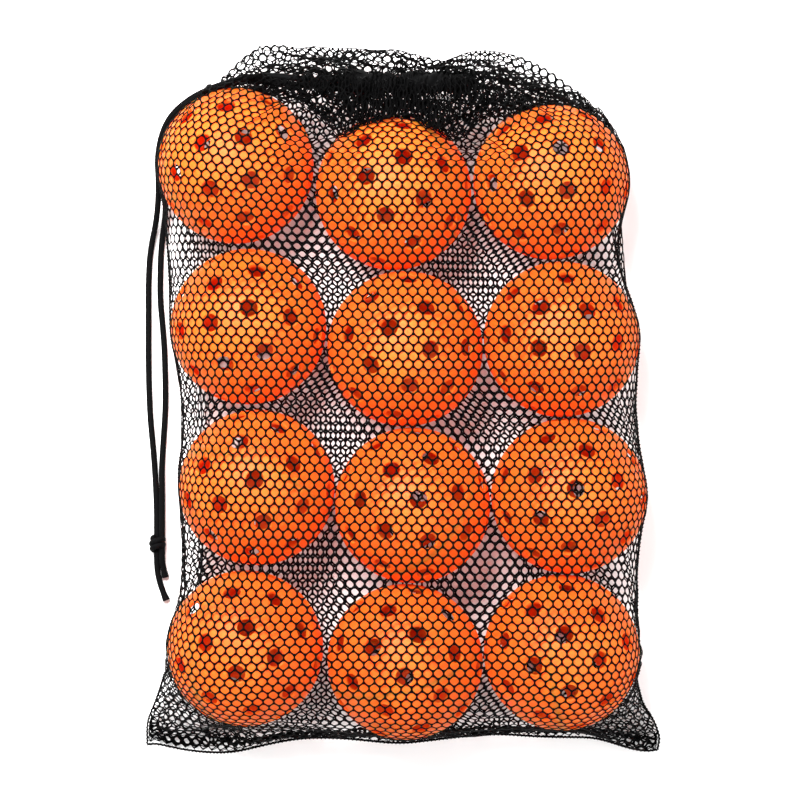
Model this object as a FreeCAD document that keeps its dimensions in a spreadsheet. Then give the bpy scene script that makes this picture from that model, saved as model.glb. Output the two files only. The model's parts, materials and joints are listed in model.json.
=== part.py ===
import FreeCAD, Part
import math
import os

from FreeCAD import Placement, Rotation, Vector

# A net drawstring bag that lies flat and holds twelve perforated pickleball balls in one layer.
# Millimetres. +Z up from the resting face, +Y towards the gathered mouth, +X to the right of it.
# The origin is the centre of the underside of the bag, at the level that it rests on.

doc = FreeCAD.newDocument("PickleballBag")
sheet = doc.addObject("Spreadsheet::Sheet", "sheet")

DIMENSIONS = {
    "ball_diameter": 74,
    "ball_wall": 1.7,
    "hole_diameter": 8.4,
    "hole_flare": 0.35,
    "seam_chamfer": 0.12,
    "lip_height": 1.2,
    "lip_wall": 0.8,
    "lip_gap": 0.05,
    "pole_ring_angle": 23.5,
    "middle_ring_angle": 52,
    "seam_ring_angle": 78,
    "ring_twist": 22.5,
    "net_thickness": 0.5,
    "fit_gap": 0.3,
    "panel_round": 30,
    "net_dip_radius": 60,
    "fold_radius": 14,
    "fold_dip_radius": 12,
    "fold_round": 10,
    "ear_thickness": 4,
    "stitch_width": 0.8,
    "stitch_height": 2,
    "hem_radius": 7.5,
    "hem_length": 62,
    "hem_round": 3,
    "tunnel_radius": 4,
    "tunnel_depth": 56,
    "cord_diameter": 3,
    "knot_radius": 4.2,
    "knot_length": 9,
    "knot_round": 0.7,
}
for row, (alias, value) in enumerate(DIMENSIONS.items(), start=1):
    sheet.set(f"A{row}", alias)
    sheet.set(f"B{row}", str(value))
    sheet.setAlias(f"B{row}", alias)
doc.recompute()


def size(alias):
    return float(sheet.get(alias))


BALL_RADIUS = size("ball_diameter") / 2
BORE_RADIUS = BALL_RADIUS - size("ball_wall")
HOLE_RADIUS = size("hole_diameter") / 2
NET = size("net_thickness")
GAP = size("fit_gap")
SKIN_INNER = BALL_RADIUS + GAP
SKIN_OUTER = SKIN_INNER + NET
MIDDLE_Z = SKIN_OUTER
CORD_RADIUS = size("cord_diameter") / 2
UP = Vector(0, 0, 1)

# Ball centres, column by column from the mouth to the bottom seam. The columns lie a little askew.
LEFT_COLUMN = [(-79.5, 112), (-73.5, 35.5), (-69.5, -41), (-75, -117.5)]
MIDDLE_COLUMN = [(-4.5, 99.5), (1, 25), (4.5, -49.5), (1, -124)]
RIGHT_COLUMN = [(70.5, 104.5), (75.5, 29.5), (79, -45), (75.5, -119.5)]
BALL_CENTRES = LEFT_COLUMN + MIDDLE_COLUMN + RIGHT_COLUMN

# How each ball has come to lie: heading of its pole, tilt of its pole and turn about it, in degrees.
BALL_TURNS = [
    (9, 29, 46), (-153, 43, 35), (-113, 71, 47), (-10, 49, 87),
    (-154, 32, 45), (-118, 42, 45), (142, 52, 32), (106, 72, 88),
    (18, 26, 34), (-100, 27, 51), (-60, 47, 61), (4, 78, 72),
]


def add(kind, name, placement=None, **expressions):
    """One document object, with each named property bound to an expression of the sheet."""
    item = doc.addObject(kind, name)
    for prop, text in expressions.items():
        item.setExpression(prop, text)
    if placement is not None:
        item.Placement = placement
    return item


def cut(name, base, tool):
    item = add("Part::Cut", name)
    item.Base = base
    item.Tool = tool
    return item


def fuse(name, items):
    item = add("Part::MultiFuse", name)
    item.Shapes = items
    return item


def group(name, items):
    item = add("Part::Compound", name)
    item.Links = items
    return item


def fixed_shape(name, shape, placement=None):
    item = doc.addObject("Part::Feature", name)
    item.Shape = shape
    if placement is not None:
        item.Placement = placement
    return item


# ---------------------------------------------------------------- the ball's two moulded halves

def hole_directions():
    """Twenty hole axes on the half whose pole is +Z: rings of four, eight and eight."""
    twist = size("ring_twist")
    rings = [("pole_ring_angle", 4, 0), ("middle_ring_angle", 8, twist), ("seam_ring_angle", 8, 0)]
    axes = []
    for alias, count, first in rings:
        tilt = math.radians(size(alias))
        for step in range(count):
            turn = math.radians(first + step * 360 / count)
            axes.append(Vector(math.sin(tilt) * math.cos(turn), math.sin(tilt) * math.sin(turn), math.cos(tilt)))
    return axes


def hole_tools(name):
    """Straight drills through the wall, and the cones that flare their mouths."""
    rim = math.sqrt(BALL_RADIUS ** 2 - HOLE_RADIUS ** 2)
    drills = []
    flares = []
    for number, axis in enumerate(hole_directions(), start=1):
        tilt = Rotation(UP, axis)
        drills.append(add(
            "Part::Cylinder", f"{name}_drill_{number}", Placement(axis * (BORE_RADIUS - 2), tilt),
            Radius="sheet.hole_diameter / 2", Height="sheet.ball_wall + 4"))
        flares.append(add(
            "Part::Cone", f"{name}_flare_{number}", Placement(axis * (rim - size("hole_flare")), tilt),
            Radius1="sheet.hole_diameter / 2", Radius2="sheet.hole_diameter / 2 + sheet.hole_flare + 1",
            Height="sheet.hole_flare + 1"))
    return group(f"{name}_drills", drills), group(f"{name}_flares", flares)


def hollow_half(name):
    """A half sphere with its wall, and its outer rim broken where the two halves are welded."""
    outside = add("Part::Sphere", f"{name}_outside", Radius="sheet.ball_diameter / 2")
    outside.Angle1 = 0
    doc.recompute()
    broken = add("Part::Chamfer", f"{name}_rim")
    broken.Base = outside
    rims = [i for i, edge in enumerate(outside.Shape.Edges, start=1)
            if edge.BoundBox.ZLength < 0.001 and edge.Length > BALL_RADIUS]
    broken.Edges = [(i, size("seam_chamfer"), size("seam_chamfer")) for i in rims]
    inside = add("Part::Sphere", f"{name}_inside", Radius="sheet.ball_diameter / 2 - sheet.ball_wall")
    return cut(f"{name}_wall", broken, inside)


def upper_half():
    """The half with a rebate inside its rim, which takes the other half's lip."""
    rebate = add("Part::Cylinder", "rebate", Radius="sheet.ball_diameter / 2 - sheet.lip_wall",
                 Height="sheet.lip_height + sheet.lip_gap")
    drills, flares = hole_tools("upper")
    rebated = cut("upper_rebated", hollow_half("upper"), rebate)
    return cut("upper_half", cut("upper_drilled", rebated, drills), flares)


def lower_half():
    """The half with a lip that stands past its rim, drawn with its own pole up."""
    below = Placement(Vector(0, 0, -size("lip_height")), Rotation())
    lip_outside = add("Part::Cylinder", "lip_outside", below, Height="sheet.lip_height + 0.6",
                      Radius="sheet.ball_diameter / 2 - sheet.lip_wall - sheet.lip_gap")
    lip_inside = add("Part::Cylinder", "lip_inside", below, Height="sheet.lip_height + 0.6",
                     Radius="sheet.ball_diameter / 2 - sheet.ball_wall + 0.1")
    lipped = fuse("lower_lipped", [hollow_half("lower"), cut("lip", lip_outside, lip_inside)])
    drills, flares = hole_tools("lower")
    return cut("lower_half", cut("lower_drilled", lipped, drills), flares)


def balls():
    """Twelve balls, each two halves: {node name: object}."""
    upper = upper_half()
    lower = lower_half()
    turned_over = Rotation(UP, size("ring_twist")) * Rotation(Vector(1, 0, 0), 180)
    nodes = {}
    for number, (centre, turn) in enumerate(zip(BALL_CENTRES, BALL_TURNS), start=1):
        heading, tilt, roll = turn
        lie = Rotation(UP, heading) * Rotation(Vector(0, 1, 0), tilt) * Rotation(UP, roll)
        place = Vector(centre[0], centre[1], MIDDLE_Z)
        for half, word, extra in ((upper, "upper", Rotation()), (lower, "lower", turned_over)):
            name = f"ball_{number:02d}_{word}_half"
            nodes[name] = group(name, [half])
            nodes[name].Placement = Placement(place, lie * extra)
    return nodes


# ---------------------------------------------------------------- the bag

def offset_outline(corners, radius, dip_radius):
    """A closed line that runs radius outside a counter-clockwise polygon: round at its corners,
    and eased with dip_radius where the polygon turns inwards."""
    points = [Vector(x, y, 0) for x, y in corners]
    count = len(points)
    runs = []
    for i, start in enumerate(points):
        end = points[(i + 1) % count]
        along = (end - start).normalize()
        outward = Vector(along.y, -along.x, 0)
        runs.append([start + outward * radius, end + outward * radius, along, outward])
    joints = []
    for i, corner in enumerate(points):
        before, after = runs[i - 1], runs[i]
        turn = before[2].getAngle(after[2])
        if before[2].cross(after[2]).z > 0:
            middle = corner + (before[3] + after[3]).normalize() * radius
            joints.append((Vector(before[1]), middle, Vector(after[0])))
            continue
        meet = corner + (before[3] + after[3]).normalize() * (radius / math.cos(turn / 2))
        back = dip_radius * math.tan(turn / 2)
        sag = dip_radius * (1 / math.cos(turn / 2) - 1)
        before[1] = meet - before[2] * back
        after[0] = meet + after[2] * back
        joints.append((Vector(before[1]), meet + (before[3] + after[3]).normalize() * sag, Vector(after[0])))
    edges = []
    for i, run in enumerate(runs):
        edges.append(Part.Arc(*joints[i]).toShape())
        edges.append(Part.LineSegment(run[0], run[1]).toShape())
    return Part.Wire(edges)


# The balls that the net is stretched round, counter-clockwise. The top dips in to the middle ball.
NET_CORNERS = [RIGHT_COLUMN[0], MIDDLE_COLUMN[0], LEFT_COLUMN[0], LEFT_COLUMN[3], MIDDLE_COLUMN[3],
               RIGHT_COLUMN[3], RIGHT_COLUMN[2], RIGHT_COLUMN[1]]
# The slack net past the balls, folded back to the mouth: two lobes with a valley between them.
FOLD_CORNERS = [(-60, 100), (60, 100), (84, 124), (60, 149.5), (28, 151), (16, 145), (-4, 152.5),
                (-70, 155), (-86, 138)]
# The bag's two stitched bottom corners, crumpled flat on the ground.
LEFT_EAR = [(-62, -150), (-64.3, -163.6), (-80.9, -167.4), (-110.9, -165), (-121.4, -161.7), (-123, -153.6),
            (-116.6, -140.7), (-110, -128), (-85, -125)]
RIGHT_EAR = [(85, -127), (106, -128), (113.3, -138.8), (120, -150.3), (123, -161.2), (122.3, -167.4),
             (116.6, -169), (109, -166.9), (97.1, -161.7), (79, -158), (70, -150)]


def net_outline(radius):
    return offset_outline(NET_CORNERS, radius, size("net_dip_radius"))


def fold_outline(radius):
    return offset_outline(FOLD_CORNERS, radius, size("fold_dip_radius"))


def prism(name, wire, low, height):
    """A solid of constant outline, from the level low upwards."""
    outline = fixed_shape(f"{name}_outline", Part.Face(wire), Placement(Vector(0, 0, low), Rotation()))
    solid = add("Part::Extrusion", name, LengthFwd=height)
    solid.Base = outline
    solid.DirMode = "Custom"
    solid.Dir = UP
    solid.Solid = True
    doc.recompute()
    return solid


def rounded(name, solid, level, radius):
    """The solid with the edge round its flat face at this level rounded."""
    item = add("Part::Fillet", name)
    item.Base = solid
    edges = [i for i, edge in enumerate(solid.Shape.Edges, start=1)
             if abs(edge.BoundBox.ZMin - level) < 0.001 and abs(edge.BoundBox.ZMax - level) < 0.001]
    item.Edges = [(i, radius, radius) for i in edges]
    doc.recompute()
    return item


def front_panel():
    """The upper net: over the balls and down to the middle level, and out flat over the fold."""
    half = "sheet.ball_diameter / 2 + sheet.fit_gap"
    outer = prism("front_outer", net_outline(SKIN_OUTER), MIDDLE_Z, half + " + sheet.net_thickness")
    inner = prism("front_inner", net_outline(SKIN_INNER), MIDDLE_Z, half)
    outside = rounded("front_outside", outer, 2 * MIDDLE_Z, size("panel_round"))
    inside = rounded("front_inside", inner, 2 * MIDDLE_Z - NET, size("panel_round") - NET)
    shelf = prism("front_shelf", fold_outline(size("fold_radius")), MIDDLE_Z, "sheet.net_thickness")
    return cut("net_front_panel", fuse("front_closed", [outside, shelf]), inside)


def back_panel():
    """The lower net: under the balls, up to the middle level, and round the fold past the mouth."""
    half = "sheet.ball_diameter / 2 + sheet.fit_gap"
    whole = half + " + sheet.net_thickness"
    round_size = size("panel_round")
    fold_round = size("fold_round")
    fold = size("fold_radius")
    outer = rounded("back_outside", prism("back_outer", net_outline(SKIN_OUTER), 0, whole),
                    0, round_size)
    inner = rounded("back_inside", prism("back_inner", net_outline(SKIN_INNER), NET, half),
                    NET, round_size - NET)
    fold_outer = rounded("fold_outside", prism("fold_outer", fold_outline(fold), 0, whole),
                         0, fold_round)
    fold_inner = rounded("fold_inside", prism("fold_inner", fold_outline(fold - NET), NET, half),
                         NET, fold_round - NET)
    ears = []
    for name, corners in (("left_ear", LEFT_EAR), ("right_ear", RIGHT_EAR)):
        points = [Vector(x, y, 0) for x, y in corners]
        ears.append(prism(name, Part.makePolygon(points + points[:1]), 0, "sheet.ear_thickness"))
    outside = fuse("back_closed", [outer, fold_outer] + ears)
    return cut("net_back_panel", outside, fuse("back_room", [inner, fold_inner]))


def stitching():
    """The seams along the bag's sides and bottom, where the two nets are sewn together."""
    outer = net_outline(SKIN_OUTER + size("stitch_width"))
    inner = net_outline(SKIN_OUTER)
    low = MIDDLE_Z - size("stitch_height") / 2
    band = cut("stitch_band", prism("stitch_outer", outer, low, "sheet.stitch_height"),
               prism("stitch_inner", inner, low, "sheet.stitch_height"))
    left_x = LEFT_COLUMN[3][0]
    right_x = RIGHT_COLUMN[3][0]
    bottom_y = LEFT_COLUMN[3][1]
    zones = {
        "side_seam_left": (-150, bottom_y, left_x, LEFT_COLUMN[0][1]),
        "side_seam_right": (right_x, bottom_y, 150, RIGHT_COLUMN[0][1]),
        "bottom_seam": (-150, -200, 150, bottom_y),
    }
    nodes = {}
    for name, (x_low, y_low, x_high, y_high) in zones.items():
        zone = fixed_shape(f"{name}_zone", Part.makeBox(
            x_high - x_low, y_high - y_low, 20, Vector(x_low, y_low, MIDDLE_Z - 10)))
        item = add("Part::Common", name)
        item.Base = band
        item.Tool = zone
        nodes[name] = item
    return nodes


# The gathered hem lies along X on the net, past the middle ball, and the cord leaves its left end.
HEM_LEFT = -30
HEM_Y = 150.5
HEM_Z = 45
HEM_REST_Z = MIDDLE_Z + NET
STRAND_STEP_Y = 1.25
STRAND_STEP_Z = 1.2


def mouth_hem():
    """The sewn tunnel round the bag's mouth, drawn up on the cord into one thick bundle."""
    along_x = Rotation(Vector(0, 1, 0), 90)
    bundle = add("Part::Cylinder", "hem_bundle", Placement(Vector(HEM_LEFT, HEM_Y, HEM_Z), along_x),
                 Radius="sheet.hem_radius", Height="sheet.hem_length")
    tunnel = add("Part::Cylinder", "hem_tunnel", Placement(Vector(HEM_LEFT, HEM_Y, HEM_Z), along_x),
                 Radius="sheet.tunnel_radius", Height="sheet.tunnel_depth")
    doc.recompute()
    softened = add("Part::Fillet", "hem_softened")
    softened.Base = bundle
    rims = [i for i, edge in enumerate(bundle.Shape.Edges, start=1) if edge.BoundBox.XLength < 0.001]
    softened.Edges = [(i, size("hem_round"), size("hem_round")) for i in rims]
    foot = fixed_shape("hem_foot_zone", Part.makeBox(120, 40, 20, Vector(-60, HEM_Y - 20, HEM_REST_Z - 20)))
    return cut("mouth_hem", cut("hem_rested", softened, foot), tunnel)


# ---------------------------------------------------------------- the drawcord

# Each strand, from the hem's end round the corner ball and down to the ground, and along to the knot.
STRAND_A = [
    (-30, 151.75, 46.2), (-44, 151.75, 46.2), (-59, 154.2, 47), (-73.5, 154.6, 47.2), (-88.5, 152.8, 46.6),
    (-103, 146.5, 44.8), (-115.4, 133.9, 39.9), (-121.1, 118.9, 31.1), (-122.7, 103.9, 18.9),
    (-122.3, 89, 7), (-122.8, 73.5, 1.9), (-124.2, 59, 1.6), (-124, 46, 1.6), (-122.2, 33.5, 1.6),
    (-121.5, 19, 1.6), (-121.1, 4, 1.6), (-120.2, -10, 1.6), (-118.3, -25, 1.6), (-117.2, -38, 1.7),
    (-118.2, -48.5, 2.6), (-119.2, -57, 3.4), (-119.2, -64.5, 3.4),
]
STRAND_B = [
    (-30, 149.25, 43.8), (-44, 149.25, 43.8), (-58.5, 151, 43.8), (-73, 152.9, 43.9), (-87.5, 152, 43.4),
    (-102.4, 145.5, 41), (-114.7, 132.8, 35.6), (-120, 117.2, 26.6), (-120.3, 102.8, 14.6),
    (-118.2, 89.8, 5.2), (-116.4, 76, 1.7), (-116.2, 62, 1.6), (-116.5, 49, 1.6), (-114.6, 38, 1.6),
    (-113.5, 25, 1.6), (-113, 11, 1.6), (-113.3, -3, 1.6), (-114, -17, 1.6), (-113.9, -31, 1.6),
    (-113.7, -43, 2.2), (-115.2, -53, 3.4), (-115.9, -64.5, 3.4),
]
KNOT_X = -117.55
KNOT_TOP_Y = -64.5
KNOT_Z = 4.25
TAIL_SHORT = [(-115.9, -73.5, 3.4), (-115.9, -77.5, 3.2), (-114.6, -81.5, 2), (-112.8, -85, 1.6)]
TAIL_LONG = [(-119.2, -73.5, 3.4), (-119.2, -78.5, 3.2), (-118, -84.5, 1.9), (-115.6, -90.5, 1.6),
             (-112.8, -96, 1.6)]
LOOP_END_X = 16


def cord_line(name, route):
    """Straight runs joined by tangent arcs, each arc as large as its two runs allow."""
    points = [Vector(*p) for p in route]
    edges = []
    radii = []
    start = points[0]
    for before, corner, after in zip(points, points[1:], points[2:]):
        back = (before - corner).normalize()
        ahead = (after - corner).normalize()
        turn = math.pi - back.getAngle(ahead)
        reach = 0.45 * min((before - corner).Length, (after - corner).Length)
        radius = reach / math.tan(turn / 2)
        inward = (back + ahead).normalize()
        middle = corner + inward * (radius * (1 / math.cos(turn / 2) - 1))
        first = corner + back * reach
        last = corner + ahead * reach
        edges.append(Part.LineSegment(start, first).toShape())
        edges.append(Part.Arc(first, middle, last).toShape())
        radii.append(round(radius, 1))
        start = last
    edges.append(Part.LineSegment(start, points[-1]).toShape())
    print(name, "bend radii", radii)
    return Part.Wire(edges)


def tube(name, line):
    """A round cord swept along a line, which is checked against its section times its length."""
    start = line.Edges[0].valueAt(line.Edges[0].FirstParameter)
    heading = line.Edges[0].tangentAt(line.Edges[0].FirstParameter)
    section = add("Part::Circle", f"{name}_section", Placement(start, Rotation(UP, heading)),
                  Radius="sheet.cord_diameter / 2")
    spine = fixed_shape(f"{name}_line", line)
    item = add("Part::Sweep", name)
    item.Sections = [section]
    item.Spine = (spine, [f"Edge{i}" for i in range(1, len(line.Edges) + 1)])
    item.Solid = True
    item.Frenet = False
    doc.recompute()
    expected = math.pi * CORD_RADIUS ** 2 * line.Length
    print(name, "length", round(line.Length, 1), "volume share", round(item.Shape.Volume / expected, 4))
    return item


def hidden_loop():
    """The cord inside the hem: in along the tunnel, round a turn, and out again."""
    far = Vector(LOOP_END_X, HEM_Y, HEM_Z)
    step = Vector(0, STRAND_STEP_Y, STRAND_STEP_Z)
    enter = Vector(HEM_LEFT, HEM_Y, HEM_Z) + step
    leave = Vector(HEM_LEFT, HEM_Y, HEM_Z) - step
    tip = far + Vector(step.Length, 0, 0)
    return Part.Wire([
        Part.LineSegment(enter, far + step).toShape(),
        Part.Arc(far + step, tip, far - step).toShape(),
        Part.LineSegment(far - step, leave).toShape(),
    ])


def drawcord():
    """The cord's two strands, its hidden loop, its knot and its two cut tails."""
    nodes = {
        "drawcord_loop": tube("drawcord_loop", hidden_loop()),
        "drawcord_strand_a": tube("drawcord_strand_a", cord_line("strand a", STRAND_A)),
        "drawcord_strand_b": tube("drawcord_strand_b", cord_line("strand b", STRAND_B)),
        "cord_tail_short": tube("cord_tail_short", cord_line("short tail", TAIL_SHORT)),
        "cord_tail_long": tube("cord_tail_long", cord_line("long tail", TAIL_LONG)),
    }
    barrel = add("Part::Cylinder", "knot_barrel", Radius="sheet.knot_radius", Height="sheet.knot_length",
                 placement=Placement(Vector(KNOT_X, KNOT_TOP_Y, KNOT_Z), Rotation(Vector(1, 0, 0), 90)))
    doc.recompute()
    knot = add("Part::Fillet", "cord_knot")
    knot.Base = barrel
    rims = [i for i, edge in enumerate(barrel.Shape.Edges, start=1) if edge.BoundBox.YLength < 0.001]
    knot.Edges = [(i, size("knot_round"), size("knot_round")) for i in rims]
    nodes["cord_knot"] = knot
    return nodes


# ---------------------------------------------------------------- check and write

def write(nodes):
    doc.recompute()
    failed = [item.Name for item in doc.Objects if {"Invalid", "Error"} & set(item.State)]
    if failed:
        raise RuntimeError(f"failed objects: {failed}")
    for name, item in nodes.items():
        if item.Shape.isNull() or not item.Shape.isValid() or len(item.Shape.Solids) < 1:
            raise RuntimeError(f"{name} has no valid solid")
    os.makedirs("parts", exist_ok=True)
    for name, item in nodes.items():
        item.Label = name
        item.Shape.exportStep(f"parts/{name}.step")
        box = item.Shape.BoundBox
        print(name, "solids", len(item.Shape.Solids), "volume", round(item.Shape.Volume, 1),
              "box", [round(v, 2) for v in (box.XMin, box.YMin, box.ZMin, box.XMax, box.YMax, box.ZMax)])


sub_parts = balls()
sub_parts["net_front_panel"] = front_panel()
sub_parts["net_back_panel"] = back_panel()
sub_parts.update(stitching())
sub_parts["mouth_hem"] = mouth_hem()
sub_parts.update(drawcord())
write(sub_parts)
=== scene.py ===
import json
import math

import bpy
import numpy as np
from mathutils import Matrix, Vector


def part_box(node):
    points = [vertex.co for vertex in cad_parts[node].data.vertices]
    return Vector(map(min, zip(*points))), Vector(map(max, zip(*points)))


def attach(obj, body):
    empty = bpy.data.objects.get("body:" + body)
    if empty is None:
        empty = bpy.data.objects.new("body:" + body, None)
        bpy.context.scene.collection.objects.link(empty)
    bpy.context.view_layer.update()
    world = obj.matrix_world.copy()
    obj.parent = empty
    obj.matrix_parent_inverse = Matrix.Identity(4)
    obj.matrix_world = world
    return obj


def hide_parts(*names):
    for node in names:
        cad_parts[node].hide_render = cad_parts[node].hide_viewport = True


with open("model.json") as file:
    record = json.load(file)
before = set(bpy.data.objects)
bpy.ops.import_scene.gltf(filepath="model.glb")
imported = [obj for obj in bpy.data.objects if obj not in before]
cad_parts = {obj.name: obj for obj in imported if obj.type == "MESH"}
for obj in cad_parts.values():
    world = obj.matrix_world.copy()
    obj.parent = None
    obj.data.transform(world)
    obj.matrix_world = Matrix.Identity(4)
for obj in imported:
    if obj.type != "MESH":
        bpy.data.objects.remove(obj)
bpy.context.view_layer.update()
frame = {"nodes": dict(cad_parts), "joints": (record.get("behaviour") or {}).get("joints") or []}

# A net drawstring bag with twelve perforated balls in it, lying flat. Metres, in the CAD frame:
# +Y towards the gathered mouth, +Z up. The net is one tube of hexagonal cells, closed by a seam at
# the bottom, relaxed over the balls, and every strand of it is mesh.

# ---------------------------------------------------------------- sizes

MM = 0.001
BALL_JOINTS = sorted((j for j in frame["joints"] if j["name"].startswith("ball_")), key=lambda j: j["name"])
CENTRES = np.array([j["pos_m"] for j in BALL_JOINTS])
MIDDLE_Z = float(CENTRES[0, 2])
NET_RADIUS = MIDDLE_Z - 0.3 * MM            # the net's own middle surface, round a ball
FLOOR_CLEARANCE = 0.4 * MM

COLUMNS = 114                               # cells round the bag
ROWS = 126                                  # cells from the bottom seam to the mouth
PITCH = 4.72 * MM                           # between cells in a row
ROW_STEP = 3.8 * MM
SHOULDER = 0.23                             # a cell's side strands end this share of a row up and down
DIAGONAL = math.hypot(PITCH / 2, ROW_STEP)
STRAND_WIDTH = 0.85 * MM
STRAND_THICKNESS = 0.5 * MM
SLACK_ROWS = 6                              # crumpled along the bottom seam
EDGE_ROW = 96                               # where the net leaves the balls for the mouth
CREST_ROW = 103                             # the slack net's outer edge, on the back
BUNCH_ROW = 113                             # where the back reaches the gathers
EAR_ROWS = 16                               # of the two bottom corners that stick out
LOW_ROWS = 14                               # kept from hanging below the bottom seam
SEAM_ROWS = EDGE_ROW + 6                    # joined by the two side seams
HALF_GIRTH = COLUMNS // 2
EVEN_ROW = (np.arange(ROWS - 1) % 2 == 0)[:, None, None]    # the odd rows stand half a cell further on
FLAT_WIDTH = 150 * MM                       # of the tube, over the middle of the balls
TUBE_Y = (-123 * MM, 108 * MM)              # where the tube begins to close, before it is settled
SOLID_SHARE = 0.38                          # of the flat net's area that is strand
CREST_Z = 18 * MM
BUNCH_Y, BUNCH_Z = 157 * MM, 42 * MM
SIDE_SEAM_RADIUS = 0.45 * MM
BOTTOM_SEAM_RADIUS = 0.5 * MM

HEM_LOW, HEM_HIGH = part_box("mouth_hem")
HEM_Y = (HEM_LOW.y + HEM_HIGH.y) / 2
HEM_HEIGHT = 45                             # in millimetres, as in the cord's routes
HEM_Z = HEM_HEIGHT * MM
TUNNEL_RADIUS = 3.4 * MM
PLEAT = 2.3 * MM                            # from one pleat of the hem to the next

CORD_RADIUS = 1.5 * MM
LINE_STEP = 0.45 * MM                       # between the points of a cord's line

ROUNDING = 0.24                             # of a strand's length, taken up by a rounded corner of the hole
# A cell's six knots from its middle, in cells and rows, anticlockwise from the lower right.
CELL_OUTLINE = np.array([
    (0.5, -SHOULDER), (0.5, SHOULDER), (0, 1 - SHOULDER),
    (-0.5, SHOULDER), (-0.5, -SHOULDER), (0, SHOULDER - 1)])

# The outline that the slack net past the mouth reaches, and the line of the bottom seam.
CREST = np.array([
    (-108, 134), (-94, 155), (-76, 172.5), (-62, 174), (-50, 171.5), (-9, 171), (4, 167), (15, 158),
    (25, 167.5), (38, 171), (55, 168), (71, 163), (83, 154.5), (92, 147), (100, 137.5), (107, 124)]) * MM
# Where the net leaves the top row of balls, going round their rims.
EDGE = np.array([
    (-108, 130), (-95, 142), (-80, 148.5), (-60, 141), (-42, 122), (-25, 131), (-5, 136), (15, 131),
    (33, 121), (50, 133), (70, 141), (85, 137), (95, 130), (108, 116)]) * MM
# How far the net reaches to the left and to the right at each y, drawn in between the rows of balls.
SIDES = np.array([
    (-175, -128, 127), (-162, -127, 126), (-152, -124.5, 121), (-142, -119.5, 115), (-132, -115, 114.5),
    (-114, -113, 115.5), (-94, -108.5, 114), (-75, -107, 114.5), (-41, -108.5, 116), (-18, -106.5, 113.5),
    (5, -106.5, 112), (35, -111.5, 113), (58, -111, 110), (77, -113.5, 109), (97, -118.5, 110),
    (111, -118, 108.5), (122, -115.5, 105), (134, -110, 99), (143, -102, 91.5), (151, -93, 83.5),
    (160, -84, 71.5), (166, -78, 60), (178, -60, 30)]) * MM
SEAM = np.array([
    (-125, -164), (-114, -168.5), (-99, -170.5), (-83, -170), (-65, -165), (-49, -162), (-31, -162),
    (-1.4, -165), (15, -163), (32, -161), (45, -160), (65, -161.5), (93, -163), (99, -165),
    (111, -169.3), (119, -171.2), (124.5, -170)]) * MM
# The edges of the two bottom corners that stick out: a row of cells, and where the side seam holds it.
LEFT_EAR = np.array([
    (0, -124.5, -168, 3), (5, -124.5, -156, 5), (11, -119.5, -144, 8), (15, -115.5, -133, 17)])
RIGHT_EAR = np.array([
    (0, 124, -169.5, 3), (5, 125, -163, 5), (9, 121.5, -154, 7), (13, 115.5, -146, 11), (15, 114, -139, 17)])


def smooth(t):
    """From 0 to 1 as t goes from 0 to 1, with soft ends."""
    t = np.clip(t, 0, 1)
    return t * t * (3 - 2 * t)


def lerp(a, b, t):
    return a + (b - a) * t


# ---------------------------------------------------------------- the net's shape

def girth_point(t):
    """x, and z from the middle, at the distance t round the bag from its left edge, over the top."""
    flat = FLAT_WIDTH
    quarter = math.pi * NET_RADIUS / 2
    x = np.zeros_like(t)
    z = np.zeros_like(t)

    def arc(where, centre, first, past):
        angle = first - (t[where] - past) / NET_RADIUS
        x[where] = centre + NET_RADIUS * np.cos(angle)
        z[where] = NET_RADIUS * np.sin(angle)

    arc(t < quarter, -flat / 2, math.pi, 0)
    top = (t >= quarter) & (t < quarter + flat)
    x[top] = t[top] - quarter - flat / 2
    z[top] = NET_RADIUS
    arc((t >= quarter + flat) & (t < 3 * quarter + flat), flat / 2, math.pi / 2, quarter + flat)
    under = (t >= 3 * quarter + flat) & (t < 3 * quarter + 2 * flat)
    x[under] = flat / 2 - (t[under] - 3 * quarter - flat)
    z[under] = -NET_RADIUS
    arc(t >= 3 * quarter + 2 * flat, -flat / 2, -math.pi / 2, 3 * quarter + 2 * flat)
    return x, z


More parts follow.
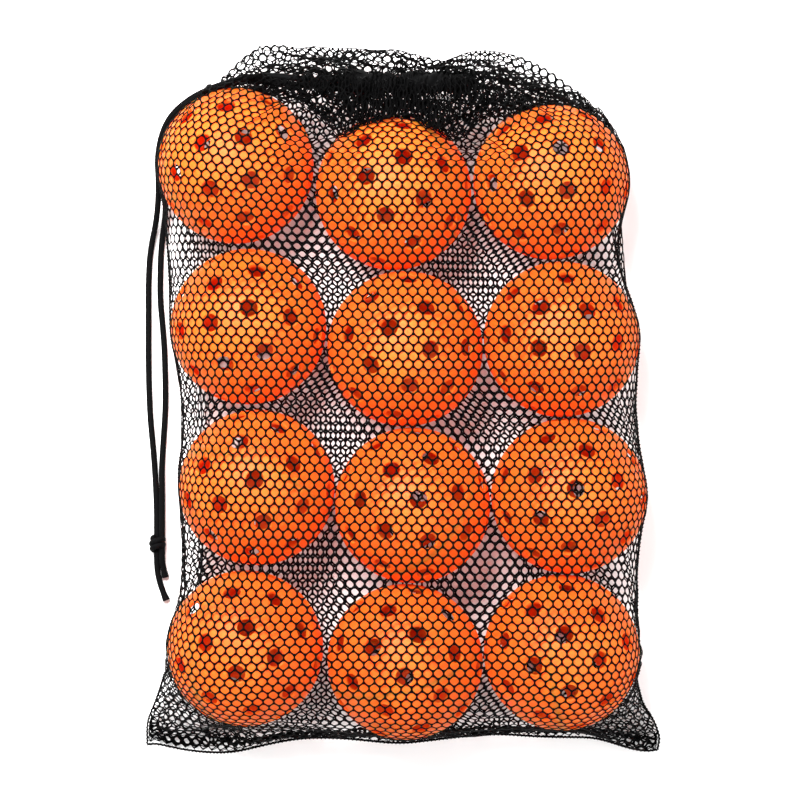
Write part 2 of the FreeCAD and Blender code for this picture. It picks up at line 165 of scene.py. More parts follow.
def body_start():
    """The tube round the balls, closed at the bottom, and which side each cell is on, from 1 to -1."""
    row = np.arange(ROWS)[:, None] * np.ones(COLUMNS)[None]
    column = np.arange(COLUMNS)[None] + 0.5 * (np.arange(ROWS) % 2)[:, None]
    girth = 2 * FLAT_WIDTH + 2 * math.pi * NET_RADIUS
    x, z = girth_point(column / COLUMNS * girth)
    first_y, last_y = TUBE_Y
    quarter = math.pi * NET_RADIUS / 2
    along = np.maximum(row - SLACK_ROWS, 0.3) * ROW_STEP
    past = along - (quarter + last_y - first_y)
    y = first_y + along - quarter
    swell = np.ones_like(along)
    closing = along < quarter
    y[closing] = first_y - NET_RADIUS * np.cos(along[closing] / NET_RADIUS)
    swell[closing] = np.sin(along[closing] / NET_RADIUS)
    leaving = past >= 0
    y[leaving] = last_y + NET_RADIUS * np.sin(past[leaving] / NET_RADIUS)
    swell[leaving] = np.cos(past[leaving] / NET_RADIUS)
    narrowing = 1 - 0.11 * np.clip(past / quarter, 0, 1) ** 2
    widening = 1 + 0.10 * np.exp(-(along / (15 * MM)) ** 2)
    slack = np.clip(1 - row / SLACK_ROWS, 0, 1)
    y += MM * (4 * np.sin(2.2 * row + 0.4 * np.sin(column * 0.9)) + 3) * np.sqrt(slack)
    x = x * widening * narrowing
    drop = np.interp(x[EDGE_ROW], EDGE[:, 0], EDGE[:, 1]) - y[EDGE_ROW]
    y += drop[None] * np.clip(row / EDGE_ROW, 0, 1) ** 6
    from_side = np.abs((column + HALF_GIRTH / 2) % HALF_GIRTH - HALF_GIRTH / 2)
    ear = np.exp(-(row / EAR_ROWS) ** 2) * np.exp(-(from_side / 8) ** 2)
    x += 5 * MM * ear * np.sin(0.9 * row + 1.9 * column)
    y += 4 * MM * ear * np.sin(1.3 * row - 1.2 * column)
    z = z * (1 + 0.3 * ear * np.sin(2.1 * row + 0.7 * column))
    z_crumpled = MIDDLE_Z + z * swell + 5 * MM * slack * np.sin(row * 1.7)
    return np.stack([x, y, z_crumpled], -1), z / NET_RADIUS


def mouth_ring(rng):
    """Where the last row of cells is drawn up on the cord, in pleats."""
    column = np.arange(COLUMNS)
    front = column < HALF_GIRTH
    run = np.where(front, column / HALF_GIRTH, 2 - column / HALF_GIRTH)
    pleat = np.array([0, 1, 0, -1])[column % 4]
    ring = np.stack([
        lerp(HEM_LOW.x, HEM_HIGH.x, run),
        HEM_Y + np.where(front, -2.5, 2.5) * MM + MM * pleat,
        HEM_Z + 2 * MM + 3.5 * MM * pleat], -1)
    return ring + rng.normal(0, 0.8 * MM, ring.shape)


def neck_start(net, side, rng):
    """Lays the rows past the balls: folded to and fro on the front, and out to the crest and back behind.

    Gives the mouth, which cells are behind, and how deep the folds are, both from 0 to 1."""
    column = np.arange(COLUMNS)
    edge = net[EDGE_ROW].copy()
    edge[:, 2] = MIDDLE_Z + side * 12 * MM
    behind = smooth((1 - side) / 2)[:, None]
    mouth = mouth_ring(rng)
    spare = (ROWS - 1 - EDGE_ROW) * ROW_STEP
    chord = np.linalg.norm(mouth - edge, axis=1)
    folds = 3
    reach = np.minimum(np.sqrt(np.maximum(spare ** 2 - chord ** 2, 0)) / (4 * folds), 10 * MM)
    crest_x = np.clip(edge[:, 0] * 1.03, -103 * MM, 103 * MM)
    crest_y = np.interp(crest_x, CREST[:, 0], CREST[:, 1]) - MM
    crest = np.stack([crest_x, crest_y, np.full(COLUMNS, CREST_Z)], -1)
    bunch_x = lerp(mouth[:, 0], crest_x, 0.25)
    bunch = np.stack([bunch_x, np.full(COLUMNS, BUNCH_Y), np.full(COLUMNS, BUNCH_Z)], -1)
    low_edge = edge.copy()
    low_edge[:, 2] = np.minimum(edge[:, 2], 9 * MM)
    for row in range(EDGE_ROW + 1, ROWS):
        share = (row - EDGE_ROW) / (ROWS - 1 - EDGE_ROW)
        front = lerp(edge, mouth, np.array([[share ** 0.65, share, share]]))
        deep = reach / (8 * MM)
        phase = 2 * math.pi * folds * share + 0.6 * np.sin(column * 0.23) + 0.4 * np.sin(column * 0.61)
        front[:, 1] -= 1.5 * MM * math.sin(math.pi * share)
        front[:, 1] = np.maximum(front[:, 1] + 1.3 * np.sin(phase) * reach, edge[:, 1] - MM)
        lift = 9 * math.sin(math.pi * share ** 1.6) + 2 * np.sin(column * 0.7 + 5 * share)
        front[:, 2] += deep * MM * lift
        if row <= CREST_ROW:
            part = (row - EDGE_ROW) / (CREST_ROW - EDGE_ROW)
            back = lerp(lerp(edge, low_edge, min(1, 2 * part)), crest, part)
        elif row <= BUNCH_ROW:
            part = (row - CREST_ROW) / (BUNCH_ROW - CREST_ROW)
            back = lerp(crest, bunch, part)
            back[:, 1] += 2 * MM * math.sin(math.pi * part)
            back[:, 2] += 6 * MM * math.sin(math.pi * part)
        else:
            part = (row - BUNCH_ROW) / (ROWS - 1 - BUNCH_ROW)
            back = lerp(bunch, mouth, part)
            back[:, 1] += 7 * MM * math.sin(3 * math.pi * part)
            back[:, 2] += 4 * MM * np.sin(3 * math.pi * part + column * 0.5)
        net[row] = lerp(front, back, behind)
    return mouth, behind, np.clip(reach / (8 * MM), 0, 1)


def strand_move(gap, wanted):
    """How far a strand moves its ends: a long one pulls them together, a short one pushes a little."""
    length = np.linalg.norm(gap, axis=2, keepdims=True) + 1e-9
    return gap * (1 - wanted / length) * np.where(length > wanted, 0.45, 0.018)


def drawn_even(net):
    """One pass over the distances from cell to cell, along the rows and in both slanting directions."""
    move = strand_move(np.roll(net, -1, axis=1) - net, PITCH)
    net = net + move - np.roll(move, 1, axis=1)
    for slanting in (False, True):
        upper = net[1:]
        if slanting:
            upper = np.where(EVEN_ROW, np.roll(upper, 1, axis=1), np.roll(upper, -1, axis=1))
        move = strand_move(upper - net[:-1], DIAGONAL)
        net[:-1] += move
        if slanting:
            move = np.where(EVEN_ROW, np.roll(move, -1, axis=1), np.roll(move, 1, axis=1))
        net[1:] -= move
    return net


def off_the_balls(net):
    """Moves what is inside a ball out to its surface, and what is below the floor up to it."""
    nearest = ((net[..., None, :2] - CENTRES[:, :2]) ** 2).sum(-1).argmin(-1)
    centre = CENTRES[nearest]
    gap = net - centre
    length = np.linalg.norm(gap, axis=2, keepdims=True)
    net = np.where(length < NET_RADIUS, centre + gap / length * NET_RADIUS, net)
    net[..., 2] = np.maximum(net[..., 2], FLOOR_CLEARANCE)
    return net


def relax(net, mouth, behind, deep, steps):
    """Settles the net: no stretch along its strands, off the balls and the floor, under a little weight."""
    mirror = (-np.arange(COLUMNS)) % COLUMNS
    crest = net[CREST_ROW].copy()
    folds = net[EDGE_ROW + 2:].copy()
    hold = (0.08 * deep * (1 - behind[:, 0]))[None, :, None]
    weight = np.where(np.arange(ROWS) < EDGE_ROW, 4e-6, 1.5e-6)[:, None, None] * np.array([0, 0, -1.0])
    left_ear, right_ear = (
        MM * np.stack([np.interp(np.arange(EAR_ROWS), ear[:, 0], ear[:, k]) for k in (1, 2, 3)], -1)
        for ear in (LEFT_EAR, RIGHT_EAR))
    calm, passes = 0.90, 5
    before = net.copy()
    for _ in range(steps):
        net, before = net + (net - before) * calm + weight, net.copy()
        for _ in range(passes):
            net = drawn_even(net)
            seam = (net[0] + net[0][mirror]) / 2
            seam[:, 1] = lerp(seam[:, 1], np.interp(seam[:, 0], SEAM[:, 0], SEAM[:, 1]), 0.3)
            seam_z = 3 * MM + 17 * MM * smooth((112 * MM - abs(seam[:, 0])) / (50 * MM))
            seam[:, 2] = lerp(seam[:, 2], seam_z, 0.1)
            net[0] = seam
            net[:EAR_ROWS, 0] = lerp(net[:EAR_ROWS, 0], left_ear, 0.5)
            net[:EAR_ROWS, HALF_GIRTH] = lerp(net[:EAR_ROWS, HALF_GIRTH], right_ear, 0.5)
            lowest = np.interp(net[1:LOW_ROWS, :, 0], SEAM[:, 0], SEAM[:, 1]) + 0.4 * MM
            net[1:LOW_ROWS, :, 1] = np.maximum(net[1:LOW_ROWS, :, 1], lowest)
            net[-1] = mouth
            net[CREST_ROW] = lerp(net[CREST_ROW], crest, 0.15 * behind)
            net[EDGE_ROW + 2:] = lerp(net[EDGE_ROW + 2:], folds, hold)
            left, right = (np.interp(net[..., 1], SIDES[:, 0], SIDES[:, k]) for k in (1, 2))
            net[..., 0] = np.clip(net[..., 0], left, right)
            net = off_the_balls(net)
    return net


def settled_net():
    """Every cell's middle, by row and column, with the net at rest."""
    rng = np.random.default_rng(7)
    net, side = body_start()
    mouth, behind, deep = neck_start(net, side[EDGE_ROW], rng)
    net[1:-1] += rng.normal(0, 0.15 * MM, net[1:-1].shape)
    net[1:SLACK_ROWS + 3] += rng.normal(0, 1.6 * MM, net[1:SLACK_ROWS + 3].shape)
    return relax(net, mouth, behind, deep, 140)


# ---------------------------------------------------------------- the net's strands

def knots_of(net):
    """Where three strands meet, inside each triangle of neighbouring cells, and the triangles' normals."""
    low, high = net[:-1], net[1:]
    low_next, high_next = np.roll(low, -1, axis=1), np.roll(high, -1, axis=1)
    tip_up = np.where(EVEN_ROW, high, high_next)
    tip_down = np.where(EVEN_ROW, low_next, low)
    up = lerp((low + low_next) / 2, tip_up, SHOULDER)
    down = lerp((high + high_next) / 2, tip_down, SHOULDER)
    up_normal = np.cross(low_next - low, tip_up - low)
    down_normal = np.cross(tip_down - high, high_next - high)
    points = np.concatenate([up.reshape(-1, 3), down.reshape(-1, 3)])
    normals = np.concatenate([up_normal.reshape(-1, 3), down_normal.reshape(-1, 3)])
    return points, normals / (np.linalg.norm(normals, axis=1, keepdims=True) + 1e-12)


def cell_corners(row, column):
    """The six knots round a cell, anticlockwise from its lower right."""
    strip = (ROWS - 1) * COLUMNS
    left = (column - 1) % COLUMNS
    between = np.where(row % 2, column, left)

    def up(r, c):
        return r * COLUMNS + c

    def down(r, c):
        return strip + r * COLUMNS + c

    return np.stack([down(row - 1, column), up(row, column), down(row, between), up(row, left),
                     down(row - 1, left), up(row - 1, between)], -1)


def cell_places(row, column):
    """The six knots of each cell as places on a flat texture."""
    middle = np.stack([column - column.min() + 0.5 * (row % 2), row - row.min()], -1)[:, None]
    places = CELL_OUTLINE + middle + 1
    return places / [column.max() - column.min() + 3, row.max() - row.min() + 2]


def beside(a, b, middle, share):
    """Two points near the ends of each strand, moved by a share of the way to the cell's middle."""
    return lerp(lerp(a, b, ROUNDING), middle, share), lerp(lerp(a, b, 1 - ROUNDING), middle, share)


def strands(name, net, knots, normals, row, column):
    """One closed mesh of the strands round the given cells, each hole with its corners rounded."""
    corners = cell_corners(row, column)
    centres = net[row, column]
    count = len(row)
    edges = np.stack([corners, np.roll(corners, -1, axis=1)], -1)
    keys = np.sort(edges.reshape(-1, 2), axis=1)
    _, first, times = np.unique(keys, axis=0, return_inverse=True, return_counts=True)
    rim = np.unique(keys[times[first.ravel()] == 1])
    used, index = np.unique(corners, return_inverse=True)
    index = index.reshape(corners.shape)
    offset = normals[used] * (STRAND_THICKNESS / 2)
    offset[np.isin(used, rim)] = 0
    top = knots[used] + offset
    bottom = knots[used] - offset
    a, b = knots[corners], knots[np.roll(corners, -1, axis=1)]
    inward = centres[:, None] - (a + b) / 2
    depth = np.linalg.norm(inward, axis=2, keepdims=True) + 1e-9
    width = STRAND_WIDTH * (1 + 0.35 * np.exp(-(row / 8) ** 2))[:, None, None]  # wider by the bottom seam
    near, far = beside(a, b, centres[:, None], np.clip(width / 2 / depth, 0, 0.85))
    hole = np.stack([near, far], 2).reshape(-1, 3)
    points = np.concatenate([top, bottom, hole])
    bottom_index = np.where(np.isin(used, rim), 0, len(used))[index] + index
    near_index = 2 * len(used) + np.arange(count * 6).reshape(count, 6) * 2
    far_index = near_index + 1
    last_far = np.roll(far_index, 1, axis=1)
    corner_uv = cell_places(row, column)
    next_uv = np.roll(corner_uv, -1, axis=1)
    near_uv, far_uv = beside(corner_uv, next_uv, corner_uv.mean(axis=1, keepdims=True), 0.2)
    faces, places = [], []
    for level, flip in ((index, False), (bottom_index, True)):
        quad = np.stack([level, np.roll(level, -1, axis=1), far_index, near_index], -1).reshape(-1, 4)
        corner = np.stack([level, near_index, last_far], -1).reshape(-1, 3)
        quad_uv = np.stack([corner_uv, next_uv, far_uv, near_uv], 2).reshape(-1, 4, 2)
        tri_uv = np.stack([corner_uv, near_uv, np.roll(far_uv, 1, axis=1)], 2).reshape(-1, 3, 2)
        if flip:
            quad, corner, quad_uv, tri_uv = quad[:, ::-1], corner[:, ::-1], quad_uv[:, ::-1], tri_uv[:, ::-1]
        faces += quad.tolist() + corner.tolist()
        for uv in (quad_uv, tri_uv):
            places.append((uv * [0.5, 1] + [0.5 * flip, 0]).ravel())
    piece = mesh_piece(name, points, faces)
    piece.data.uv_layers.new(name="OFBake").data.foreach_set("uv", np.concatenate(places))
    return piece, count * (PITCH * ROW_STEP) * SOLID_SHARE


# ---------------------------------------------------------------- small makers

def mesh_piece(name, points, faces):
    """A smooth-shaded mesh in the scene."""
    mesh = bpy.data.meshes.new(name)
    mesh.from_pydata(np.asarray(points).tolist(), [], faces)
    mesh.shade_smooth()
    piece = bpy.data.objects.new(name, mesh)
    bpy.context.scene.collection.objects.link(piece)
    return piece


def distances(line):
    """How far along a line each of its points is."""
    return np.concatenate([[0], np.cumsum(np.linalg.norm(np.diff(line, axis=0), axis=1))])


def points_at(line, at):
    """The points of a line at these distances along it."""
    return np.stack([np.interp(at, distances(line), line[:, k]) for k in range(3)], -1)


def spline_points(name, route):
    """The line of a smooth NURBS spline with these control points, evenly spaced."""
    curve = bpy.data.curves.new(name, "CURVE")
    curve.dimensions = "3D"
    curve.resolution_u = 24
    spline = curve.splines.new("NURBS")
    spline.points.add(len(route) - 1)
    for point, place in zip(spline.points, route):
        point.co = (*place, 1)
    spline.order_u = 3
    spline.use_endpoint_u = True
    holder = bpy.data.objects.new(name, curve)
    bpy.context.scene.collection.objects.link(holder)
    mesh = bpy.data.meshes.new_from_object(holder)
    line = np.array([v.co for v in mesh.vertices])
    bpy.data.objects.remove(holder)
    bpy.data.meshes.remove(mesh)
    length = distances(line)[-1]
    return points_at(line, np.linspace(0, length, max(3, int(length / LINE_STEP))))


def frames_along(line):
    """Two directions across a line at each of its points, carried along it without twist."""
    tangent = np.gradient(line, axis=0)
    tangent /= np.linalg.norm(tangent, axis=1, keepdims=True)
    side = np.cross(tangent[0], [0, 0, 1.0])
    if np.linalg.norm(side) < 0.1:
        side = np.cross(tangent[0], [0, 1.0, 0])
    sides = []
    for t in tangent:
        side = side - t * side.dot(t)
        side /= np.linalg.norm(side)
        sides.append(side)
    sides = np.array(sides)
    return sides, np.cross(tangent, sides)


def wall(rings, around, first=0):
    """The faces between rings of points that follow one another."""
    faces = []
    for i in range(rings - 1):
        start = first + i * around
        for k in range(around):
            n = (k + 1) % around
            faces.append((start + k, start + n, start + around + n, start + around + k))
    return faces


def tube(name, line, radius, around, relief=None):
    """A closed tube along a line. relief(turn, gone) scales its radius, turn and gone being arrays."""
    side, up = frames_along(line)
    turn = np.arange(around) / around * 2 * math.pi
    scale = np.ones((len(line), around)) if relief is None else relief(turn[None], distances(line)[:, None])
    ring = side[:, None] * np.cos(turn)[None, :, None] + up[:, None] * np.sin(turn)[None, :, None]
    points = (line[:, None] + ring * (radius * scale)[..., None]).reshape(-1, 3)
    faces = wall(len(line), around)
    faces.append(tuple(reversed(range(around))))
    faces.append(tuple(range((len(line) - 1) * around, len(line) * around)))
    return mesh_piece(name, points, faces)


def joined(name, parts):
    """Several mesh pieces as one."""
    points, faces = [], []
    for part in parts:
        first = len(points)
        points += [tuple(v.co) for v in part.data.vertices]
        faces += [tuple(first + i for i in p.vertices) for p in part.data.polygons]
        mesh = part.data
        bpy.data.objects.remove(part)
        bpy.data.meshes.remove(mesh)
    return mesh_piece(name, points, faces)


# ---------------------------------------------------------------- materials

def material(name, colour, roughness):
    """A new material, its node tree and its shader."""
    mat = bpy.data.materials.new(name)
    mat.use_nodes = True
    shader = mat.node_tree.nodes["Principled BSDF"]
    shader.inputs["Base Color"].default_value = (*colour, 1)
    shader.inputs["Roughness"].default_value = roughness
    return mat, mat.node_tree, shader


def node(tree, kind, **inputs):
    """A new node with these values in its inputs, underscores standing for spaces."""
    made = tree.nodes.new(kind)
    for name, value in inputs.items():
        made.inputs[name.replace("_", " ")].default_value = value
    return made


def ramp(tree, factor, stops):
    """Colours along a factor, from stops of a place and a colour."""
    made = tree.nodes.new("ShaderNodeValToRGB")
    for i, (place, colour) in enumerate(stops):
        element = made.color_ramp.elements[i] if i < 2 else made.color_ramp.elements.new(place)
        element.position = place
        element.color = (*colour, 1)
    tree.links.new(factor, made.inputs["Fac"])
    return made.outputs["Color"]


def value_range(tree, factor, low, high):
    """A factor from 0 to 1, spread from low to high."""
    made = tree.nodes.new("ShaderNodeMapRange")
    made.inputs["To Min"].default_value = low
    made.inputs["To Max"].default_value = high
    tree.links.new(factor, made.inputs["Value"])
    return made.outputs["Result"]


def bump(tree, shader, height, distance, strength):
    made = node(tree, "ShaderNodeBump", Strength=strength, Distance=distance)
    tree.links.new(height, made.inputs["Height"])
    tree.links.new(made.outputs["Normal"], shader.inputs["Normal"])


def object_coordinates(tree):
    return tree.nodes.new("ShaderNodeTexCoord").outputs["Object"]


def noise(tree, scale, detail):
    made = node(tree, "ShaderNodeTexNoise", Scale=scale, Detail=detail)
    tree.links.new(object_coordinates(tree), made.inputs["Vector"])
    return made.outputs["Fac"]


def ball_plastic():
    """Bright orange moulded polyethylene: a little translucent, with a fine moulded grain."""
    mat, tree, shader = material("orange_plastic", (1.0, 0.125, 0.011), 0.5)
    colour = ramp(tree, noise(tree, 45, 3), [(0.3, (1.0, 0.118, 0.010)), (0.7, (1.0, 0.134, 0.013))])
    tree.links.new(colour, shader.inputs["Base Color"])
    tree.links.new(value_range(tree, noise(tree, 260, 2), 0.46, 0.62), shader.inputs["Roughness"])
    shader.inputs["Specular IOR Level"].default_value = 0.14
    shader.inputs["Subsurface Weight"].default_value = 1.0
    shader.inputs["Subsurface Radius"].default_value = (1.0, 0.2, 0.05)
    shader.inputs["Subsurface Scale"].default_value = 8 * MM
    shader.inputs["IOR"].default_value = 1.5
    bump(tree, shader, noise(tree, 1400, 2), 0.05 * MM, 0.35)
    return mat


def net_polyester():
    """Black knitted polyester: nearly matt, with the fine ribs of its yarns."""
    mat, tree, shader = material("black_net", (0.001, 0.001, 0.0011), 0.6)
    tree.links.new(value_range(tree, noise(tree, 900, 2), 0.5, 0.75), shader.inputs["Roughness"])
    shader.inputs["Specular IOR Level"].default_value = 0.03
    bump(tree, shader, noise(tree, 2600, 1), 0.08 * MM, 0.6)
    return mat


def cord_polyester(name, colour, grain):
    """Black polyester yarn, matt, with an uneven tint. grain is the fineness of its filaments."""
    mat, tree, shader = material(name, colour, 0.7)
    dark, light = (tuple(share * c for c in colour) for share in (0.7, 1.5))
    tint = ramp(tree, noise(tree, grain, 2), [(0.3, dark), (0.7, light)])
    tree.links.new(tint, shader.inputs["Base Color"])
    tree.links.new(value_range(tree, noise(tree, grain / 2, 2), 0.6, 0.85), shader.inputs["Roughness"])
    shader.inputs["Specular IOR Level"].default_value = 0.04
    bump(tree, shader, noise(tree, grain * 2, 2), 0.12 * MM, 0.7)
    return mat


BALL_PLASTIC = ball_plastic()
NET = net_polyester()
CORD = cord_polyester("black_braid", (0.0018, 0.0018, 0.002), 1500)
HEM = cord_polyester("black_hem", (0.0012, 0.0012, 0.0013), 1200)
THREAD = cord_polyester("black_thread", (0.0012, 0.0012, 0.0013), 2500)


def dress(piece, mat, body, slot_name, *nodes):
    """Gives a piece its material and its body, and hides the CAD nodes that it takes the place of. slot_name
    is not used.
    """
    piece.data.materials.append(mat)
    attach(piece, body)
    if nodes:
        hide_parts(*nodes)
    return piece


# ---------------------------------------------------------------- camera

CAMERA_HEIGHT = 1.5
VIEW_WIDTH = 380.8 * MM                     # what the frame takes in at the balls' middle level
SENSOR_WIDTH = 36                           # of a full-frame camera, in millimetres
camera_data = bpy.data.cameras.new("camera")
camera_data.sensor_width = SENSOR_WIDTH
camera_data.lens = SENSOR_WIDTH * CAMERA_HEIGHT / VIEW_WIDTH
camera = bpy.data.objects.new("camera", camera_data)
camera.location = (-1.4 * MM, 0.6 * MM, MIDDLE_Z + CAMERA_HEIGHT)
bpy.context.scene.collection.objects.link(camera)
bpy.context.scene.camera = camera

# ---------------------------------------------------------------- the drawcord

# The routes of its parts, in millimetres: from the hem to the knot, and from the knot to the cut ends.
STRAND_A = [
    (-30, 151.75, 46.2), (-44, 151.75, 46.2), (-59, 154.2, 47), (-73.5, 153.4, 47.2), (-88.5, 149.3, 46.6),
    (-101.8, 143.2, 44.8), (-112.5, 133.6, 40.5), (-117.7, 119, 30.5), (-117.6, 103.9, 19),
    (-119.4, 89, 7), (-123.2, 73.5, 1.9), (-124, 59, 1.6), (-124, 46, 1.6), (-124, 33.5, 1.6),
    (-124, 19, 1.6), (-123.7, 4, 1.6), (-123, -10, 1.6), (-121.5, -25, 1.6), (-120.6, -38, 1.7),
    (-120.1, -48.5, 2), (-119.9, -57, 2.3), (-119.9, -64.5, 2.3),
]
STRAND_B = [
    (-30, 149.25, 43.8), (-44, 149.25, 43.8), (-58.5, 151, 43.8), (-73, 152.2, 43.9), (-87.5, 149.6, 43.4),
    (-102, 143.6, 41), (-112.7, 133.1, 35.2), (-117.1, 117.2, 26), (-114.8, 102.8, 14.6),
    (-115.4, 89.8, 5.2), (-117.8, 76, 1.7), (-118.3, 62, 1.6), (-118.3, 49, 1.6), (-117.2, 38, 1.6),
    (-116.2, 25, 1.6), (-115.8, 11, 1.6), (-115.7, -3, 1.6), (-116.6, -17, 1.6), (-117.5, -31, 2),
    (-117.3, -43, 3.5), (-117.2, -53, 4.2), (-117.2, -64.5, 4.3),
]
TAIL_SHORT = [(-117.2, -73.5, 4.3), (-117.3, -77.5, 4), (-116.6, -81.5, 2.8), (-115.7, -85.6, 1.9)]
TAIL_LONG = [(-119.9, -73.5, 2.6), (-120, -78.5, 2.2), (-119.4, -84.5, 1.9), (-117.7, -91, 1.9),
             (-115.2, -97, 1.9)]
# The loop inside the hem, with y and z from the hem's middle.
LOOP = [(-30, 1.25, 1.2), (-15, 1.25, 1.2), (0, 1.25, 1.2), (12, 1.25, 1.2), (17.5, 1, 1),
        (17.5, -1, -1), (12, -1.25, -1.2), (0, -1.25, -1.2), (-15, -1.25, -1.2), (-30, -1.25, -1.2)]


def metres(route):
    """A route in metres."""
    return [tuple(v * MM for v in point) for point in route]


def braid(turn, gone):
    """The relief of a round braid: ribs that wind both ways and pass over each other."""
    strands_round, slope, depth = 8, 0.42 * MM, 0.05
    one = np.cos(strands_round * turn + gone / slope)
    other = np.cos(strands_round * turn - gone / slope)
    return 1 - depth + depth * np.maximum(one, other)


def cord_piece(name, route, flare=0.0):
    """A stretch of the cord and its line. flare is how much wider a cut end is."""
    line = spline_points(name + "_line", metres(route))
    flared = 4 * MM
    start = distances(line)[-1] - flared

    def relief(turn, gone):
        return braid(turn, gone) * (1 + flare * smooth((gone - start) / flared))

    return tube(name, line, CORD_RADIUS, 32, relief), line


def knot_piece():
    """Both strands wrapped round themselves and drawn tight, between the strands' ends and the tails."""
    low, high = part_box("cord_knot")
    middle = (low + high) / 2
    overlap = 0.5 * MM
    parts = []
    for name, (x, _, _), z in (("core_a", STRAND_A[-1], 2.4), ("core_b", STRAND_B[-1], 4.3)):
        places = (high.y + overlap, middle.y + 2 * MM, middle.y - 2 * MM, low.y - overlap)
        route = [(x * MM, y, z * MM) for y in places]
        parts.append(tube(name, spline_points(name + "_line", route), CORD_RADIUS, 24, braid))
    turns, first_angle, steps = 2.3, 2.4, 40
    centre_x = middle.x - 1.9 * MM
    wide, tall, lean, inset = 2.75 * MM, 2.55 * MM, 0.7 * MM, 1.6 * MM
    wrap = []
    for i in range(steps + 1):
        share = i / steps
        angle = 2 * math.pi * turns * share + first_angle
        pinch = 1 - 0.35 * (abs(2 * share - 1) ** 6)
        wrap.append((centre_x + wide * pinch * math.cos(angle),
                     lerp(high.y - inset, low.y + inset, share) + lean * math.sin(angle + 0.6),
                     middle.z + tall * pinch * math.sin(angle)))
    parts.append(tube("wrap", spline_points("wrap_line", wrap), CORD_RADIUS, 24, braid))
    return joined("tied_knot", parts)


strand_a, line_a = cord_piece("drawcord_strand_one", STRAND_A)
strand_b, line_b = cord_piece("drawcord_strand_two", STRAND_B)
tail_short, _ = cord_piece("cut_tail_short", TAIL_SHORT, 0.2)
tail_long, _ = cord_piece("cut_tail_long", TAIL_LONG, 0.25)
knot = knot_piece()
loop, _ = cord_piece("drawcord_in_hem", [(x, HEM_Y / MM + y, HEM_HEIGHT + z) for x, y, z in LOOP])
for piece, node_name in (
        (strand_a, "drawcord_strand_a"), (strand_b, "drawcord_strand_b"), (tail_short, "cord_tail_short"),
        (tail_long, "cord_tail_long"), (knot, "cord_knot"), (loop, "drawcord_loop")):
    dress(piece, CORD, "drawcord", "cord", node_name)

# ---------------------------------------------------------------- the balls

for name, part in frame["nodes"].items():
    if name.startswith("ball_"):
        part.data.materials.clear()
        part.data.materials.append(BALL_PLASTIC)
        part.data.shade_smooth()

# ---------------------------------------------------------------- the net

net = settled_net()
knots, normals = knots_of(net)
rows, columns = np.meshgrid(np.arange(1, ROWS - 1), np.arange(COLUMNS), indexing="ij")
rows, columns = rows.ravel(), columns.ravel()
in_neck = rows > EDGE_ROW
on_front = columns < HALF_GIRTH
for name, chosen, held, replaced in (
        ("net_front", ~in_neck & on_front, "stretched", ["net_front_panel"]),
        ("net_back", ~in_neck & ~on_front, "stretched", ["net_back_panel"]),
        ("net_neck", in_neck, "gathered", [])):
    piece, area = strands(name, net, knots, normals, rows[chosen], columns[chosen])
    dress(piece, NET, "bag", "net", *replaced)


# ---------------------------------------------------------------- seams and hem

def overlock(name, line, radius, node_name):
    """A seam: the rolled edge of both panels, with a thread wound over it."""
    stitch, thread_radius = 1.9 * MM, 0.2 * MM
    core = tube(name + "_core", line, radius, 10)
    at = np.arange(0, distances(line)[-1], 0.25 * MM)
    along = points_at(line, at)
    side, up = frames_along(along)
    angle = at[:, None] / stitch * 2 * math.pi
    thread = along + (side * np.cos(angle) + up * np.sin(angle)) * (radius + thread_radius / 2)
    wound = tube(name + "_thread", thread, thread_radius, 5)
    return dress(joined(name, [core, wound]), THREAD, "bag", "thread", node_name)


def seam_line(points):
    """The points as a smooth line, a little away from the floor, with its two ends where they were."""
    kernel = np.array([1, 2, 3, 2, 1]) / 9
    padded = np.concatenate([points[:1].repeat(2, 0), points, points[-1:].repeat(2, 0)])
    line = np.stack([np.convolve(padded[:, k], kernel, "valid") for k in range(3)], -1)
    line[0], line[-1] = points[0], points[-1]
    line[:, 2] = np.maximum(line[:, 2], 1.1 * MM)
    return line


overlock("seam_left", seam_line(net[0:SEAM_ROWS, 0]), SIDE_SEAM_RADIUS, "side_seam_left")
overlock("seam_right", seam_line(net[0:SEAM_ROWS, HALF_GIRTH]), SIDE_SEAM_RADIUS, "side_seam_right")
overlock("seam_bottom", seam_line(net[0, 0:HALF_GIRTH + 1]), BOTTOM_SEAM_RADIUS, "bottom_seam")


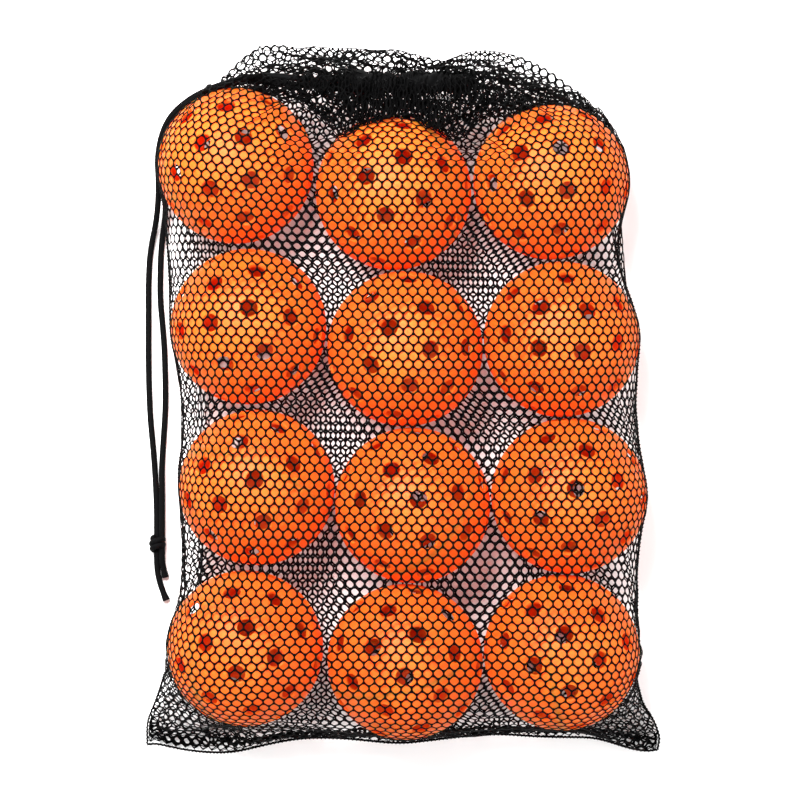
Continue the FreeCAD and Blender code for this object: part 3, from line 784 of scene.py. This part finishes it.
def gathered_hem():
    """The tunnel at the mouth, drawn up on the cord: a thick ring of pleats, open at the cord's end."""
    rng = np.random.default_rng(11)
    around, steps = 56, 260
    length = HEM_HIGH.x - HEM_LOW.x
    phase = rng.uniform(0, 2 * math.pi, 6)
    outer, inner = [], []
    for i in range(steps):
        share = i / (steps - 1)
        x = HEM_LOW.x + length * share
        ends = math.sqrt(max(0.0, 1 - abs(2 * share - 1) ** 8))
        for k in range(around):
            turn = 2 * math.pi * k / around
            slip = 1.4 * math.sin(turn + phase[0]) + 0.8 * math.sin(2 * turn + 3 * share + phase[1])
            uneven = 1.3 * math.sin(11 * share + phase[3])
            pleats = length * share / PLEAT + uneven + 0.8 * math.sin(23 * share)
            fold = abs(math.sin(math.pi * pleats + slip))
            deep = 0.6 + 0.4 * math.sin(3 * turn + 29 * share + phase[2])
            lump = math.sin(13 * share + phase[3]) + math.sin(2 * turn + 5 * share + phase[4])
            radius = 3.8 * MM + ends * (0.6 + 1.7 * fold * deep + 0.45 * lump) * MM
            y = HEM_Y + radius * math.cos(turn)
            z = HEM_Z + radius * 0.95 * math.sin(turn)
            outer.append((x + 0.5 * MM * math.sin(turn * 2 + phase[5]), y, z))
            inner.append((x, HEM_Y + TUNNEL_RADIUS * math.cos(turn), HEM_Z + TUNNEL_RADIUS * math.sin(turn)))
    points = outer + inner
    first = steps * around
    last = (steps - 1) * around
    faces = [face[::-1] for face in wall(steps, around)] + wall(steps, around, first)
    for k in range(around):
        n = (k + 1) % around
        faces.append((k, n, first + n, first + k))
        faces.append((first + last + k, first + last + n, last + n, last + k))
    return dress(mesh_piece("gathered_hem", points, faces), HEM, "bag", "hem", "mouth_hem")


gathered_hem()

# ---------------------------------------------------------------- floor and light

bpy.ops.mesh.primitive_plane_add(size=6, location=(0, 0, 0))
floor = bpy.context.object
floor.name = "floor"
floor_material, _, floor_shader = material("pale_floor", (0.95, 0.95, 0.95), 0.8)
floor_shader.inputs["Emission Color"].default_value = (1, 1, 1, 1)
floor_shader.inputs["Emission Strength"].default_value = 0.06
floor.data.materials.append(floor_material)


def area_light(name, place, size, power):
    """A round white light that points at the middle of the bag."""
    data = bpy.data.lights.new(name, "AREA")
    data.shape = "DISK"
    data.size = size
    data.energy = power
    lamp = bpy.data.objects.new(name, data)
    lamp.location = place
    lamp.rotation_euler = (-Vector(place)).to_track_quat("-Z", "Y").to_euler()
    bpy.context.scene.collection.objects.link(lamp)


area_light("key", (-0.26, 0.42, 0.85), 0.5, 29)
area_light("fill", (0.7, -0.4, 1.1), 1.0, 8)
world = bpy.data.worlds.new("studio")
world.use_nodes = True
world.node_tree.nodes["Background"].inputs["Color"].default_value = (1, 1, 1, 1)
world.node_tree.nodes["Background"].inputs["Strength"].default_value = 0.9
bpy.context.scene.world = world
bpy.context.scene.view_settings.view_transform = "Standard"
